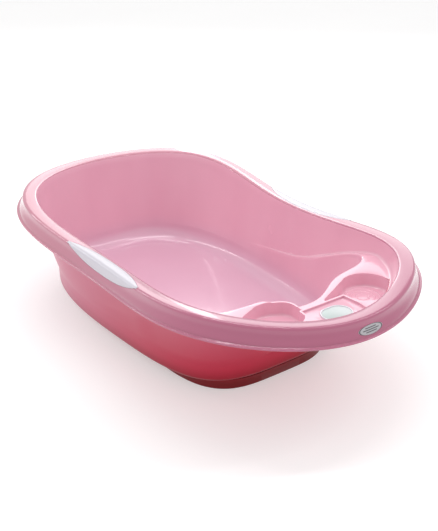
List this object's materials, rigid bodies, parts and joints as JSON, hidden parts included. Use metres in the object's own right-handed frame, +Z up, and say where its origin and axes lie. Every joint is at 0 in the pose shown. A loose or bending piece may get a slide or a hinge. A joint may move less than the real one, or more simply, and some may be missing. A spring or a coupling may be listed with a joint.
{
  "type": "baby bathtub",
  "caption": "Moulded baby bathtub with a rolled waisted rim, sloping head end, foot deck with two soap recesses, rim grips and a lift-out drain plug.",
  "frame": {"origin": "on the surface the tub stands on, under the middle of its length and width", "axes": "+X from the head end to the foot end, +Y to the left of a baby lying in the tub, +Z up"},
  "size_m": [0.84, 0.4928, 0.2152],
  "materials": {
    "shell": "glossy pink injection-moulded polypropylene",
    "grips": "glossy white",
    "badge": "glossy white",
    "film": "satin pale grey-green",
    "label": "satin silver-grey, blank",
    "plug": "glossy white",
    "seal": "matte dark grey"
  },
  "bodies": {
    "tub": {"tub_shell": "shell", "left_grip": "grips", "right_grip": "grips", "deck_badge": "badge", "badge_film": "film", "rim_label": "label"},
    "plug": {"drain_plug": "plug", "plug_seal": "seal"}
  },
  "joints": [
    {"name": "plug_lift", "type": "slide", "parent": "tub", "child": "plug", "axis": [0, 0, 1], "range_m": [0, 0.06]}
  ]
}
